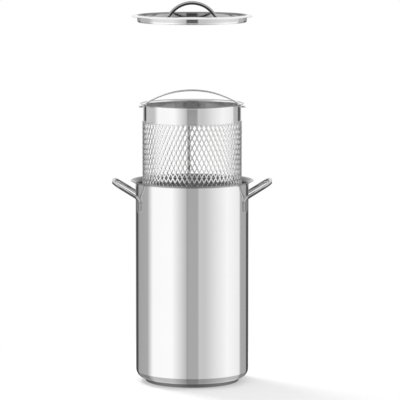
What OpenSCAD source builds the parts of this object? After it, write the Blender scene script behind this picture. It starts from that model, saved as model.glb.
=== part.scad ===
// Tall pasta pot with a lift-out strainer insert and a recessed lid, in millimetres.
// Z is up, the origin is at the bottom centre, and the side handles lie along X.
// The parts stand as on display: insert lifted half out of the pot, lid held above it.

/* [Pot] */
// Inside diameter of the pot
pot_bore = 160; // [150:1:200]
// Height of the pot, from the table to the rim
pot_height = 290; // [200:1:320]
// Thickness of the pot's steel sheet
pot_sheet = 0.8; // [0.6:0.1:1.2]
// Outside radius of the rounded bottom corner
pot_corner = 13.5; // [10:0.5:20]
// How far the pouring rim reaches out past the wall
rim_reach = 7.2; // [5:0.1:9]
// Slope of the pouring rim above level
rim_slope = 27; // [15:1:35]

/* [Sandwich base] */
// Thickness of the whole base under the pot
base_height = 5; // [4:0.1:7]
// Thickness of the steel cap that encloses the core
cap_sheet = 0.6; // [0.4:0.1:1]
// How far the base stops short of the pot's flat bottom
base_setback = 0; // [0:0.5:6]
// Outside radius of the cap's bottom edge
cap_corner = 2; // [1.2:0.1:3]

/* [Side handles] */
// Diameter of the handle rod
rod = 5.2; // [4:0.1:6.5]
// Half the distance between a handle's two legs
leg_offset = 30; // [24:1:38]
// Distance from the pot's wall to the middle of the grip
grip_reach = 30.7; // [26:0.1:38]
// Drop of the grip's middle below the pot's rim
grip_drop = 1.6; // [0:0.1:10]
// Slope of the legs above level
leg_slope = 32; // [15:1:45]
// Radius of the rod's bends at the grip
grip_bend = 13; // [8:0.5:18]
// Radius of the rod's bends at the wall
foot_bend = 9; // [7:0.5:12]
// Length of the flattened foot on the wall
foot_length = 15; // [10:0.5:22]
// Width of the flattened foot
foot_width = 13; // [9:0.5:15]
// Thickness of the flattened foot
foot_thickness = 2.4; // [1.8:0.1:3.2]

/* [Strainer insert] */
// Gap between the insert's collar and the pot's bore
insert_gap = 10.1; // [8.7:0.1:16]
// Height of the collar that shows above the mesh
collar_height = 24.5; // [15:0.5:40]
// Thickness of the collar's and the dish's sheet
insert_sheet = 0.8; // [0.6:0.1:1]
// Height of the insert
insert_height = 255; // [190:1:257]
// How far the insert's lip reaches out past the collar
lip_reach = 4.1; // [2.5:0.1:5]
// Slope of the lip above level
lip_slope = 22; // [10:1:35]
// Height of the solid wall of the bottom dish
dish_wall = 15; // [12:0.5:25]
// Radius of the dish's rounded corner
dish_corner = 7; // [5:0.5:9]
// Height of the strainer floor above the ring that it stands on
floor_raise = 3.5; // [2:0.5:6]
// Diameter of the drain holes
drain_hole = 6; // [3:0.5:7]
// Distance between the rings of drain holes
drain_pitch = 11; // [9:0.5:14]

/* [Mesh] */
// Thickness of the expanded metal
mesh_sheet = 1; // [0.8:0.1:1.4]
// Diamonds in one row round the insert
mesh_columns = 32; // [16:2:40]
// Distance between two staggered rows of diamonds
mesh_row = 14.3; // [12:0.1:20]
// Width of a strand between two diamonds
mesh_strand = 2.6; // [1.6:0.1:4]
// Length of the knot between the tips of two diamonds in one column
mesh_knot = 5; // [3:0.5:8]
// Lap of the mesh over the collar and the dish
mesh_lap = 6; // [4:0.5:8]
// Solid edge of the mesh above its top row of diamonds
mesh_hem = 2.5; // [1:0.5:8]
// Width of the strip that covers the mesh's seam
seam_width = 4; // [3:0.5:10]
// Turn of the seam from straight behind, towards the left handle
seam_turn = 4; // [0:1:30]
// Thickness of the seam strip
seam_sheet = 0.8; // [0.5:0.1:1]

/* [Bail] */
// Diameter of the bail's wire
bail_wire = 2.6; // [2:0.1:3.2]
// Height of the bow above its pivots
bail_rise = 23.4; // [16:0.5:26]
// How far the bow's end stands in from the knee above its pivot
bail_lean = 1.6; // [0.5:0.1:3]
// Height of the short leg between the bow and each pivot
bail_leg = 5.2; // [4:0.1:8]
// Depth of the pivots below the insert's rim
pivot_drop = 5.2; // [4.8:0.1:8]
// How far the upset ends reach out past the collar
pivot_reach = 6.5; // [3:0.1:6.9]

/* [Lid] */
// Thickness of the lid's sheet
lid_sheet = 0.8; // [0.6:0.1:1]
// Depth of the lid's floor at its edge, below the tip of the flange
lid_recess = 8.1; // [7:0.1:12]
// Radius of the dome of the lid's floor
lid_dome = 470; // [400:5:800]
// Slope of the lid's flange below level
flange_fall = 15; // [8:1:20]
// How far the lid's flange stops short of the pot's rim
flange_inset = 2; // [1:0.1:3]
// Outside height of the lid's bow handle
bow_height = 24.9; // [20:0.1:30]
// Outside radius of the lid's bow handle
bow_radius = 40.5; // [38:0.1:55]
// Width of the bow handle's strip
bow_width = 11; // [8:0.5:16]
// Thickness of the bow handle's strip
bow_thickness = 5.3; // [3:0.1:6]
// Length of each flattened foot of the bow
bow_foot = 9.5; // [8:0.5:14]
// Thickness of each flattened foot of the bow
bow_foot_thickness = 1.8; // [1.2:0.1:2.4]

/* [Fit] */
// Gap between the lid's skirt and the pot's bore
skirt_gap = 1.9; // [1:0.1:2.5]
// Gap between parts that are lifted apart, where they would rest on each other
rest_gap = 0.3; // [0.2:0.05:0.5]
// Running gap round the bail's wire in the collar's holes
pivot_gap = 0.05; // [0.03:0.01:0.1]
// Gap between pieces that are welded round each other
weld_gap = 0.05; // [0.02:0.01:0.1]

/* [Display] */
// Height of the insert's rim above the pot's rim on display
insert_lift = 110.3; // [60:0.1:140]
// Height of the lid's flange above the insert's rim on display
lid_lift = 124.3; // [60:0.1:160]

/* [Hidden] */

// Steps in a quarter turn of a sheet's bend, and sides of a swept rod
bend_steps = 8;
rod_sides = 16;
steel = [0.80, 0.80, 0.81];
bright_steel = [0.86, 0.86, 0.87];
dark_steel = [0.62, 0.62, 0.64];
aluminium = [0.75, 0.76, 0.78];

pot_radius = pot_bore / 2 + pot_sheet;
pot_floor = base_height + pot_sheet;
flat_radius = pot_radius - pot_corner;
rim_radius = pot_radius + rim_reach;
base_radius = flat_radius - base_setback;
foot_angle = asin(leg_offset / pot_radius);

collar_radius = pot_bore / 2 - insert_gap;
mesh_inner = collar_radius + weld_gap;
mesh_outer = mesh_inner + mesh_sheet;
insert_base = pot_height + insert_lift - insert_height;
insert_rim = insert_base + insert_height;
mesh_bottom = insert_base + dish_wall - mesh_lap;
mesh_top = insert_rim - collar_height;
lid_plane = insert_rim + lid_lift;

// Points on an arc round [x, y], from angle a to angle b
function arc(x, y, r, a, b) =
    let (n = max(2, ceil(abs(b - a) / 90 * bend_steps)))
    [for (i = [0:n]) [x + r * cos(a + (b - a) * i / n), y + r * sin(a + (b - a) * i / n)]];

function unit(v) = v / norm(v);
function left_of(v) = [-v[1], v[0]];
function reversed(list) = [for (i = [len(list) - 1:-1:0]) list[i]];

// The normal of a bent sheet at point i, stretched at a corner so that the thickness stays even
function sheet_normal(path, i) =
    let (n = len(path) - 1,
         before = left_of(unit(path[max(i, 1)] - path[max(i, 1) - 1])),
         after = left_of(unit(path[min(i, n - 1) + 1] - path[min(i, n - 1)])))
    (before + after) / (1 + before * after);
function sheet_side(path, offset) =
    [for (i = [0:len(path) - 1])
        let (p = path[i] + offset * sheet_normal(path, i))
        [path[i][0] == 0 ? 0 : p[0], p[1]]];

// A spun sheet: the path is the middle of its thickness, from the axis or the low edge outwards
module spun_sheet(path, thickness) {
    rotate_extrude($fn = 160)
        polygon(concat(sheet_side(path, -thickness / 2), reversed(sheet_side(path, thickness / 2))));
}

// A turned-out edge on a wall of radius r: a bend and a straight flare up to the tip
function flare(r, tip_r, tip_z, slope, bend) =
    let (turned = 90 - slope,
         run = tip_r - r - bend * (1 - cos(turned)),
         start_z = tip_z - run * tan(slope) - bend * sin(turned))
    concat(arc(r + bend, start_z, bend, 180, 90 + slope), [[tip_r, tip_z]]);

// Distance from the middle of a flared tip to its highest point, and to its outermost one
function tip_up(thickness, slope) = thickness / 2 * cos(slope);
function tip_out(thickness, slope) = thickness / 2 * sin(slope);

rim_bend = 2.5;
module pot_body() {
    wall = pot_radius - pot_sheet / 2;
    corner = pot_corner - pot_sheet / 2;
    floor_z = base_height + pot_sheet / 2;
    path = concat(
        [[0, floor_z]],
        arc(flat_radius, floor_z + corner, corner, -90, 0),
        flare(wall, rim_radius - tip_out(pot_sheet, rim_slope),
              pot_height - tip_up(pot_sheet, rim_slope), rim_slope, rim_bend));
    color(steel) spun_sheet(path, pot_sheet);
}

// The middle of the cap's sheet, from the axis to its upper edge against the pot
cap_path = let (edge = base_radius - cap_sheet / 2, bend = cap_corner - cap_sheet / 2)
    concat([[0, cap_sheet / 2]],
           arc(edge - bend, cap_sheet / 2 + bend, bend, -90, 0),
           [[edge, base_height]]);

module base_core() {
    color(aluminium)
        rotate_extrude($fn = 160)
            polygon(concat(sheet_side(cap_path, cap_sheet / 2), [[0, base_height]]));
}

module base_cap() {
    color(bright_steel) spun_sheet(cap_path, cap_sheet);
}

// A rounded section: a circle at flat = 0, nearly a rectangle at flat = 1
function section(width, thickness, flat) =
    let (power = 1 - 0.6 * flat)
    [for (i = [0:rod_sides - 1])
        let (a = (i + 0.5) * 360 / rod_sides)
        [width / 2 * sign(cos(a)) * pow(abs(cos(a)), power),
         thickness / 2 * sign(sin(a)) * pow(abs(sin(a)), power)]];

// A rod swept through stations of [centre, width axis, thickness axis, width, thickness, flat]
module swept(stations) {
    rings = [for (s = stations) [for (p = section(s[3], s[4], s[5])) s[0] + p[0] * s[1] + p[1] * s[2]]];
    points = [for (ring = rings) for (p = ring) p];
    sides = [for (k = [0:len(rings) - 2]) for (i = [0:rod_sides - 1])
        let (j = (i + 1) % rod_sides, a = k * rod_sides, b = a + rod_sides)
        each [[a + i, b + i, b + j], [a + i, b + j, a + j]]];
    start = [for (i = [0:rod_sides - 1]) i];
    end = [for (i = [rod_sides - 1:-1:0]) (len(rings) - 1) * rod_sides + i];
    polyhedron(points, concat(sides, [start, end]));
}

function ease(t) = let (u = max(0, min(1, t))) u * u * (3 - 2 * u);
function blend(a, b, t) = a + (b - a) * t;

// Half of a side handle, from the end of its foot to the middle of the grip
leg_x = (pot_radius + weld_gap + foot_thickness / 2) * cos(foot_angle);
leg_y = (pot_radius + weld_gap + foot_thickness / 2) * sin(foot_angle);
foot_turn = 90 - leg_slope;
lifted_x = leg_x + foot_bend * (1 - cos(foot_turn));
slant = (pot_radius + grip_reach - lifted_x) / cos(leg_slope);
bend_z = pot_height - grip_drop - slant * sin(leg_slope) - foot_bend * sin(foot_turn);
wall_axis = [-sin(foot_angle), cos(foot_angle), 0];
out_axis = [cos(foot_angle), sin(foot_angle), 0];
outward = [cos(leg_slope), 0, sin(leg_slope)];
upward = [-sin(leg_slope), 0, cos(leg_slope)];

// A foot station: t runs from 0 on the flat foot to 1 on the round rod
function foot_station(centre, tilt, t) =
    let (across = unit(blend(wall_axis, [0, 1, 0], t)),
         along = [sin(tilt), 0, cos(tilt)])
    [centre, across, unit(cross(across, along)),
     blend(foot_width, rod, t), blend(foot_thickness, rod, t), 1 - t];

// The foot's rounded end: how far along the foot, and the share of its width there
foot_end = [[0, 0.5], [0.04, 0.72], [0.12, 0.9], [0.25, 1], [1, 1]];
half_handle = concat(
    [for (s = foot_end)
        [[leg_x, leg_y, bend_z - foot_length * (1 - s[0])], wall_axis, out_axis,
         foot_width * s[1], foot_thickness, 1]],
    [for (i = [1:7])
        let (tilt = foot_turn * i / 7)
        foot_station([leg_x + foot_bend * (1 - cos(tilt)), leg_y, bend_z + foot_bend * sin(tilt)],
                     tilt, ease(i / 7))],
    [for (i = [0:6])
        let (turn = 90 * i / 6,
             centre = [lifted_x, leg_y, bend_z + foot_bend * sin(foot_turn)]
                 + (slant - grip_bend) * outward)
        [centre + grip_bend * (sin(turn) * outward - (1 - cos(turn)) * [0, 1, 0]),
         cos(turn) * [0, 1, 0] + sin(turn) * outward, -upward, rod, rod, 0]]);

function flipped(v) = [v[0], -v[1], v[2]];
function mirrored(s) =
    [flipped(s[0]), flipped(s[1]), flipped(s[2]), s[3], s[4], s[5]];

module side_handle() {
    swept(concat(half_handle, reversed([for (s = half_handle) mirrored(s)])));
}

module handle_right() {
    color(bright_steel) side_handle();
}

module handle_left() {
    color(bright_steel) rotate([0, 0, 180]) side_handle();
}

lip_bend = 1.5;
module insert_collar() {
    wall = collar_radius - insert_sheet / 2;
    path = concat(
        [[wall, mesh_top - mesh_lap]],
        flare(wall, collar_radius + lip_reach - tip_out(insert_sheet, lip_slope),
              insert_rim - tip_up(insert_sheet, lip_slope), lip_slope, lip_bend));
    color(bright_steel)
        difference() {
            spun_sheet(path, insert_sheet);
            translate([0, 0, pivot_z])
                rotate([0, 90, 0])
                    cylinder(r = bail_wire / 2 + pivot_gap, h = 4 * collar_radius, center = true, $fn = 48);
        }
}

// One diamond opening, pointing along X
module diamond() {
    width = 2 * PI * mesh_outer / mesh_columns - mesh_strand;
    height = 2 * mesh_row - mesh_knot;
    translate([mesh_inner - 2, 0, 0])
        rotate([90, 0, 90])
            linear_extrude(height = mesh_sheet + 4)
                polygon([[-width / 2, 0], [0, -height / 2], [width / 2, 0], [0, height / 2]]);
}

module insert_mesh() {
    half_diamond = mesh_row - mesh_knot / 2;
    open_bottom = mesh_bottom + mesh_lap + half_diamond;
    open_top = mesh_top - mesh_hem - half_diamond;
    rows = floor((open_top - open_bottom) / mesh_row);
    first = (open_top + open_bottom - rows * mesh_row) / 2;
    color(dark_steel)
        difference() {
            translate([0, 0, mesh_bottom])
                rotate_extrude($fn = 160)
                    translate([mesh_inner, 0])
                        square([mesh_sheet, mesh_top - mesh_bottom]);
            for (row = [0:rows])
                for (column = [0:mesh_columns - 1])
                    translate([0, 0, first + row * mesh_row])
                        rotate([0, 0, (column + (row % 2) / 2) * 360 / mesh_columns])
                            diamond();
        }
}

// The strip welded over the seam of the mesh, at the back
module mesh_seam() {
    span = seam_width / mesh_outer * 180 / PI;
    color(steel)
        translate([0, 0, mesh_bottom])
            rotate([0, 0, 90 + seam_turn - span / 2])
                rotate_extrude(angle = span, $fn = 160)
                    translate([mesh_outer + weld_gap, 0])
                        square([seam_sheet, mesh_top - mesh_bottom]);
}

// The strainer floor: rings of drain holes inside a pressed ring that it stands on
foot_ring = collar_radius - dish_corner;
ring_width = 5;
floor_radius = foot_ring - ring_width;
module insert_dish() {
    wall = collar_radius - insert_sheet / 2;
    low = insert_base + insert_sheet / 2;
    corner = dish_corner - insert_sheet / 2;
    path = concat(
        [[0, low + floor_raise], [floor_radius - floor_raise, low + floor_raise], [floor_radius, low]],
        arc(foot_ring, low + corner, corner, -90, 0),
        [[wall, insert_base + dish_wall]]);
    rings = floor((floor_radius - floor_raise - drain_hole / 2 - 1) / drain_pitch);
    color(bright_steel)
        difference() {
            spun_sheet(path, insert_sheet);
            for (ring = [0:rings])
                for (i = [0:max(0, 6 * ring - 1)])
                    rotate([0, 0, i * 60 / max(1, ring)])
                        translate([ring * drain_pitch, 0, insert_base + floor_raise - 1])
                            cylinder(d = drain_hole, h = insert_sheet + 2, $fn = 32);
        }
}

// The bail stands upright; its bow ends in short legs that turn out through the collar
pivot_z = insert_rim - pivot_drop;
knee_gap = 0.7;
knee_x = collar_radius - insert_sheet - bail_wire / 2 - knee_gap;
bow_end_x = knee_x - bail_lean;
bow_rise = bail_rise - bail_leg;
bail_radius = (pow(bow_end_x, 2) + pow(bow_rise, 2)) / (2 * bow_rise);
head = 0.9;
head_overhang = 0.6;
module bail() {
    bow_angle = asin(bow_end_x / bail_radius);
    // Slightly over the wire's own radius, so that no face of two joined rods is shared
    joint = bail_wire / 2 + 0.03;
    color(bright_steel)
        translate([0, 0, pivot_z])
            union() {
                translate([0, 0, bail_rise - bail_radius])
                    rotate([90, 0, 0])
                        rotate([0, 0, 90 - bow_angle])
                            rotate_extrude(angle = 2 * bow_angle, $fn = 256)
                                translate([bail_radius, 0])
                                    circle(d = bail_wire, $fn = 24);
                for (side = [-1, 1]) {
                    translate([side * bow_end_x, 0, bail_leg])
                        sphere(r = joint, $fn = 24);
                    bail_rod([side * bow_end_x, 0, bail_leg], [side * knee_x, 0, 0]);
                    translate([side * knee_x, 0, 0])
                        sphere(r = joint, $fn = 24);
                    translate([side * knee_x, 0, 0])
                        rotate([0, side * 90, 0])
                            cylinder(d = bail_wire, h = collar_radius + pivot_reach - knee_x, $fn = 24);
                    translate([side * (collar_radius + pivot_reach - head), 0, 0])
                        rotate([0, side * 90, 0])
                            cylinder(d = bail_wire + 2 * head_overhang, h = head, $fn = 24);
                }
            }
}

// A straight piece of the bail's wire from point a to point b in the XZ plane
module bail_rod(a, b) {
    v = b - a;
    translate(a)
        rotate([0, atan2(v[0], v[2]), 0])
            cylinder(d = bail_wire, h = norm(v), $fn = 24);
}

// The lid's floor rises to the middle; z runs from the middle of the flange's tip
lid_wall = pot_bore / 2 - skirt_gap - lid_sheet / 2;
lid_corner = 2;
lid_bend = 1.5;
flange_radius = rim_radius - flange_inset;
dome_end_slope = asin((lid_wall - lid_corner) / (lid_dome + lid_corner));
dome_end_x = lid_dome * sin(dome_end_slope);
dome_centre = -lid_recess - lid_dome * cos(dome_end_slope);
function dome_z(x) = dome_centre + sqrt(pow(lid_dome, 2) - pow(x, 2));

lid_z = lid_plane - tip_up(lid_sheet, flange_fall);
module lid_cover() {
    dome_steps = 14;
    path = concat(
        [for (i = [0:dome_steps - 1]) [dome_end_x * i / dome_steps, dome_z(dome_end_x * i / dome_steps)]],
        arc(lid_wall - lid_corner, dome_z(dome_end_x) + lid_corner * cos(dome_end_slope), lid_corner,
            -90 - dome_end_slope, 0),
        flare(lid_wall, flange_radius - tip_out(lid_sheet, flange_fall), 0, -flange_fall, lid_bend));
    color(bright_steel)
        translate([0, 0, lid_z])
            spun_sheet(path, lid_sheet);
}

// Half of the bow handle: the bow, a reverse bend, and a foot that lies along the dome
foot_x = bow_radius;
foot_tilt = asin(foot_x / lid_dome);
bow_mid = bow_radius - bow_thickness / 2;
bow_top = dome_z(foot_x) + lid_sheet / 2 + bow_height;
bow_centre = [0, bow_top - bow_radius];
reverse_bend = 8;
foot_mid = [foot_x, dome_z(foot_x)] + (lid_sheet / 2 + weld_gap + bow_foot_thickness / 2)
    * [sin(foot_tilt), cos(foot_tilt)];
foot_line = (foot_mid - bow_centre) * [sin(foot_tilt), cos(foot_tilt)];
bow_turn = acos((foot_line + reverse_bend) / (bow_mid + reverse_bend));
reverse_centre = bow_centre + (bow_mid + reverse_bend)
    * [sin(bow_turn + foot_tilt), cos(bow_turn + foot_tilt)];

// A bow station at p in the XZ plane; slope is how steeply the strip falls there
function bow_station(p, slope, flat) =
    [[p[0], 0, p[1]], [0, 1, 0], [-sin(slope), 0, -cos(slope)],
     blend(bow_width, bow_foot_width, flat), blend(bow_thickness, bow_foot_thickness, flat),
     0.25 + 0.75 * flat];
bow_foot_width = bow_width + 1.5;

half_bow = concat(
    [for (i = [0:9])
        let (a = (bow_turn + foot_tilt) * i / 9)
        bow_station(bow_centre + bow_mid * [sin(a), cos(a)], a, 0)],
    [for (i = [1:5])
        let (a = foot_tilt + bow_turn * (1 - i / 5))
        bow_station(reverse_centre - reverse_bend * [sin(a), cos(a)], a, ease(i / 5))],
    [for (s = reversed(foot_end))
        let (along = [cos(foot_tilt), -sin(foot_tilt)],
             bend_end = reverse_centre - reverse_bend * [sin(foot_tilt), cos(foot_tilt)],
             st = bow_station(bend_end + bow_foot * (1 - s[0]) * along, foot_tilt, 1))
        if (s[0] < 1) [st[0], st[1], st[2], st[3] * s[1], st[4], 1]]);

function bow_mirrored(s) =
    [[-s[0][0], 0, s[0][2]], s[1], [-s[2][0], 0, s[2][2]], s[3], s[4], s[5]];

module lid_handle() {
    color(steel)
        translate([0, 0, lid_z])
            swept(concat([for (i = [len(half_bow) - 1:-1:1]) bow_mirrored(half_bow[i])], half_bow));
}

pot_body();
base_core();
base_cap();
handle_left();
handle_right();
insert_collar();
insert_mesh();
mesh_seam();
insert_dish();
bail();
lid_cover();
lid_handle();
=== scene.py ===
import math

import bmesh
import bpy
from mathutils import Matrix, Vector


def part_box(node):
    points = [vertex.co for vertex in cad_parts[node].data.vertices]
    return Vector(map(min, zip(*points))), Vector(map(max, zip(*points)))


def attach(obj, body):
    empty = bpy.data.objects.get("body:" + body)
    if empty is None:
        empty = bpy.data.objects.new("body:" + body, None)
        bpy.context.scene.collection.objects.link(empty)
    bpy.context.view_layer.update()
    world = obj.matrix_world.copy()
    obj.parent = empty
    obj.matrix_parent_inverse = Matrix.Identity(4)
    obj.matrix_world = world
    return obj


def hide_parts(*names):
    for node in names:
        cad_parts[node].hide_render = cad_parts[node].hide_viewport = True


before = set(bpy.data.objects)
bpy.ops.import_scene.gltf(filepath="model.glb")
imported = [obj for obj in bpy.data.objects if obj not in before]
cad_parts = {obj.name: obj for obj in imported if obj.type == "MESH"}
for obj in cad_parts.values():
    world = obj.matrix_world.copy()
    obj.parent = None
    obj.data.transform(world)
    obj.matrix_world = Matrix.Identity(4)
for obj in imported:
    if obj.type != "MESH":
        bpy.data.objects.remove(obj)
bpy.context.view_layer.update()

scene = bpy.context.scene
scene.view_settings.view_transform = "Standard"


# The camera: a long lens a little above the lid, looking down along +Y at the
# pot standing below it. It is pitched, never shifted.
CAMERA_DISTANCE = 4.216
CAMERA_HEIGHT = 0.752
CAMERA_SIDE = 0.0113
CAMERA_PITCH = math.radians(6.643)
PHOTO_WIDTH = 400
FOCAL_PIXELS = 2964.0

camera_data = bpy.data.cameras.new("photo_camera")
camera_data.sensor_width = 36
camera_data.lens = FOCAL_PIXELS / PHOTO_WIDTH * camera_data.sensor_width
camera_data.clip_end = 200
camera = bpy.data.objects.new("photo_camera", camera_data)
camera.location = (CAMERA_SIDE, -CAMERA_DISTANCE, CAMERA_HEIGHT)
camera.rotation_euler = (math.pi / 2 - CAMERA_PITCH, 0, 0)
scene.collection.objects.link(camera)
scene.camera = camera


# The pot body: one steel sheet drawn deep into a straight tube with a rounded
# bottom corner. Its upper edge is spun outwards into a short pouring rim, and
# the whole shell is polished with a fine grain that runs round it.
POT_RADIUS = 0.0808
POT_SHEET = 0.0008
POT_WALL = POT_RADIUS - POT_SHEET / 2
POT_CORNER = 0.0135 - POT_SHEET / 2
POT_FLOOR = 0.005 + POT_SHEET / 2
RIM_SLOPE = math.radians(27)
RIM_BEND = 0.0025
SPIN_STEPS = 256
SUPPORT_GAP = 0.0008
SAME_POINT = 1e-6
BOX_CLEARANCE = 0.00002
RAMP_MARGIN = 0.001
_, pot_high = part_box("pot_body")


def arc_path(centre, radius, start, end, steps=10):
    """Points of an arc in the (radius, height) plane, from angle start to angle end."""
    angles = [start + (end - start) * i / steps for i in range(steps + 1)]
    return [(centre[0] + radius * math.cos(a), centre[1] + radius * math.sin(a)) for a in angles]


def flare_path(wall, tip_radius, tip_height, slope, bend):
    """A wall that turns outwards through a bend and runs straight up to its tip."""
    turned = math.pi / 2 - slope
    run = tip_radius - wall - bend * (1 - math.cos(turned))
    start = tip_height - run * math.tan(slope) - bend * math.sin(turned)
    return arc_path((wall + bend, start), bend, math.pi, math.pi - turned) + [(tip_radius, tip_height)]


def supported(path):
    """Adds a point close to each end of every long straight run, which keeps its shading straight."""
    points = [Vector(path[0])]
    for a, b in zip(map(Vector, path), map(Vector, path[1:])):
        if (b - a).length > 5 * SUPPORT_GAP:
            along = (b - a).normalized() * SUPPORT_GAP
            points += [a + along, b - along]
        points.append(b)
    return points


def rounded_end(point, along, thickness):
    """The half circle that closes a sheet's edge, from its right side to its left side."""
    across = Vector((-along.y, along.x))
    turns = [math.radians(a) for a in (-60, -30, 0, 30, 60)]
    return [point + thickness / 2 * (math.cos(a) * along + math.sin(a) * across) for a in turns]


def spun_sheet(path, thickness):
    """Spins a bent sheet round the Z axis. The path is the middle of its thickness."""
    points = supported(path)
    directions = [(b - a).normalized() for a, b in zip(points, points[1:])]
    right, left = [], []
    for i, point in enumerate(points):
        before = directions[max(i - 1, 0)]
        after = directions[min(i, len(directions) - 1)]
        normal = Vector((-before.y - after.y, before.x + after.x)) / (1 + before.dot(after))
        left.append(point + normal * thickness / 2)
        right.append(point - normal * thickness / 2)
    on_axis = points[0].x < 1e-9
    outline = right + rounded_end(points[-1], directions[-1], thickness) + left[::-1]
    if on_axis:
        outline[0].x = outline[-1].x = 0
    else:
        outline += rounded_end(points[0], -directions[0], thickness)
    bm = bmesh.new()
    verts = [bm.verts.new((p.x, 0, p.y)) for p in outline]
    ring = zip(verts, verts[1:]) if on_axis else zip(verts, verts[1:] + verts[:1])
    edges = [bm.edges.new(pair) for pair in ring]
    bmesh.ops.spin(bm, geom=verts + edges, axis=(0, 0, 1), cent=(0, 0, 0), angle=2 * math.pi,
                   steps=SPIN_STEPS, use_merge=True)
    bmesh.ops.remove_doubles(bm, verts=bm.verts, dist=SAME_POINT)
    bmesh.ops.recalc_face_normals(bm, faces=bm.faces)
    return bm


def finished_piece(name, bm, material, sharp_angle=50):
    """Makes an object at the origin from the bmesh, shaded smooth up to the sharp angle."""
    mesh = bpy.data.meshes.new(name)
    bm.to_mesh(mesh)
    bm.free()
    mesh.shade_smooth()
    mesh.set_sharp_from_angle(angle=math.radians(sharp_angle))
    piece = bpy.data.objects.new(name, mesh)
    piece.data.materials.append(material)
    scene.collection.objects.link(piece)
    return piece


def steel_surface():
    """A node group: fine polishing lines, uneven gloss from handling, and a slight change of tone."""
    group = bpy.data.node_groups.new("steel_surface", "ShaderNodeTree")
    for name, kind in (("Line Scale", "NodeSocketVector"), ("Line Depth", "NodeSocketFloat"),
                       ("Polished", "NodeSocketFloat"), ("Dull", "NodeSocketFloat"),
                       ("Light Tone", "NodeSocketColor"), ("Dark Tone", "NodeSocketColor")):
        group.interface.new_socket(name, in_out="INPUT", socket_type=kind)
    for name, kind in (("Colour", "NodeSocketColor"), ("Roughness", "NodeSocketFloat"),
                       ("Normal", "NodeSocketVector")):
        group.interface.new_socket(name, in_out="OUTPUT", socket_type=kind)
    nodes, links = group.nodes, group.links
    given = nodes.new("NodeGroupInput")
    result = nodes.new("NodeGroupOutput")
    place = nodes.new("ShaderNodeTexCoord")

    stretch = nodes.new("ShaderNodeVectorMath")
    stretch.operation = "MULTIPLY"
    lines = nodes.new("ShaderNodeTexNoise")
    lines.inputs["Scale"].default_value = 1
    lines.inputs["Detail"].default_value = 4
    links.new(place.outputs["Object"], stretch.inputs[0])
    links.new(given.outputs["Line Scale"], stretch.inputs[1])
    links.new(stretch.outputs["Vector"], lines.inputs["Vector"])
    bump = nodes.new("ShaderNodeBump")
    bump.inputs["Distance"].default_value = 0.00002
    links.new(given.outputs["Line Depth"], bump.inputs["Strength"])
    links.new(lines.outputs["Fac"], bump.inputs["Height"])
    links.new(bump.outputs["Normal"], result.inputs["Normal"])

    handling = nodes.new("ShaderNodeTexNoise")
    handling.inputs["Scale"].default_value = 14
    handling.inputs["Detail"].default_value = 5
    links.new(place.outputs["Object"], handling.inputs["Vector"])
    gloss = nodes.new("ShaderNodeMapRange")
    gloss.inputs["From Min"].default_value = 0.4
    gloss.inputs["From Max"].default_value = 0.7
    links.new(handling.outputs["Fac"], gloss.inputs["Value"])
    links.new(given.outputs["Polished"], gloss.inputs["To Min"])
    links.new(given.outputs["Dull"], gloss.inputs["To Max"])
    links.new(gloss.outputs["Result"], result.inputs["Roughness"])

    tone = nodes.new("ShaderNodeMix")
    tone.data_type = "RGBA"
    links.new(lines.outputs["Fac"], tone.inputs["Factor"])
    links.new(given.outputs["Light Tone"], tone.inputs[6])
    links.new(given.outputs["Dark Tone"], tone.inputs[7])
    links.new(tone.outputs[2], result.inputs["Colour"])
    return group


STEEL_SURFACE = steel_surface()
# Painted light: steel seen in its third mirror image or a later one glows with this deep grey.
MIRRORED_OFTEN = 2.5
DEEP_GLOW_GREY = 140


def grey(level):
    """A neutral grey as linear colour, from its value out of 255 on screen."""
    value = level / 255
    linear = value / 12.92 if value <= 0.04045 else ((value + 0.055) / 1.055) ** 2.4
    return (linear, linear, linear, 1)


def steel_material(name, light, dark, polished, dull, line_scale, line_depth):
    """Polished steel. Seen in its third mirror image or a later one, it glows a deep grey: painted light that
    stands in for the light of further mirror images.
    """
    material = bpy.data.materials.new(name)
    material.use_nodes = True
    nodes, links = material.node_tree.nodes, material.node_tree.links
    shader = nodes["Principled BSDF"]
    shader.inputs["Metallic"].default_value = 1
    surface = nodes.new("ShaderNodeGroup")
    surface.node_tree = STEEL_SURFACE
    surface.inputs["Line Scale"].default_value = line_scale
    surface.inputs["Line Depth"].default_value = line_depth
    surface.inputs["Polished"].default_value = polished
    surface.inputs["Dull"].default_value = dull
    surface.inputs["Light Tone"].default_value = grey(light)
    surface.inputs["Dark Tone"].default_value = grey(dark)
    links.new(surface.outputs["Colour"], shader.inputs["Base Color"])
    links.new(surface.outputs["Roughness"], shader.inputs["Roughness"])
    links.new(surface.outputs["Normal"], shader.inputs["Normal"])
    # Painted light: from the third mirror image on, the steel glows a deep grey of its own.
    light_path = nodes.new("ShaderNodeLightPath")
    often_mirrored = nodes.new("ShaderNodeMath")
    often_mirrored.operation = "GREATER_THAN"
    often_mirrored.inputs[1].default_value = MIRRORED_OFTEN
    links.new(light_path.outputs["Ray Depth"], often_mirrored.inputs[0])
    deep_glow_tone = nodes.new("ShaderNodeMix")
    deep_glow_tone.data_type = "RGBA"
    deep_glow_tone.inputs[6].default_value = (0, 0, 0, 1)
    deep_glow_tone.inputs[7].default_value = grey(DEEP_GLOW_GREY)
    links.new(often_mirrored.outputs[0], deep_glow_tone.inputs["Factor"])
    links.new(deep_glow_tone.outputs[2], shader.inputs["Emission Color"])
    shader.inputs["Emission Strength"].default_value = 1
    return material


def spun_steel(name, light=242, dark=236):
    """Sheet that is polished while it spins, so that its fine lines run round it."""
    return steel_material(name, light, dark, polished=0.055, dull=0.10, line_scale=(30, 30, 2500),
                          line_depth=0.25)


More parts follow.
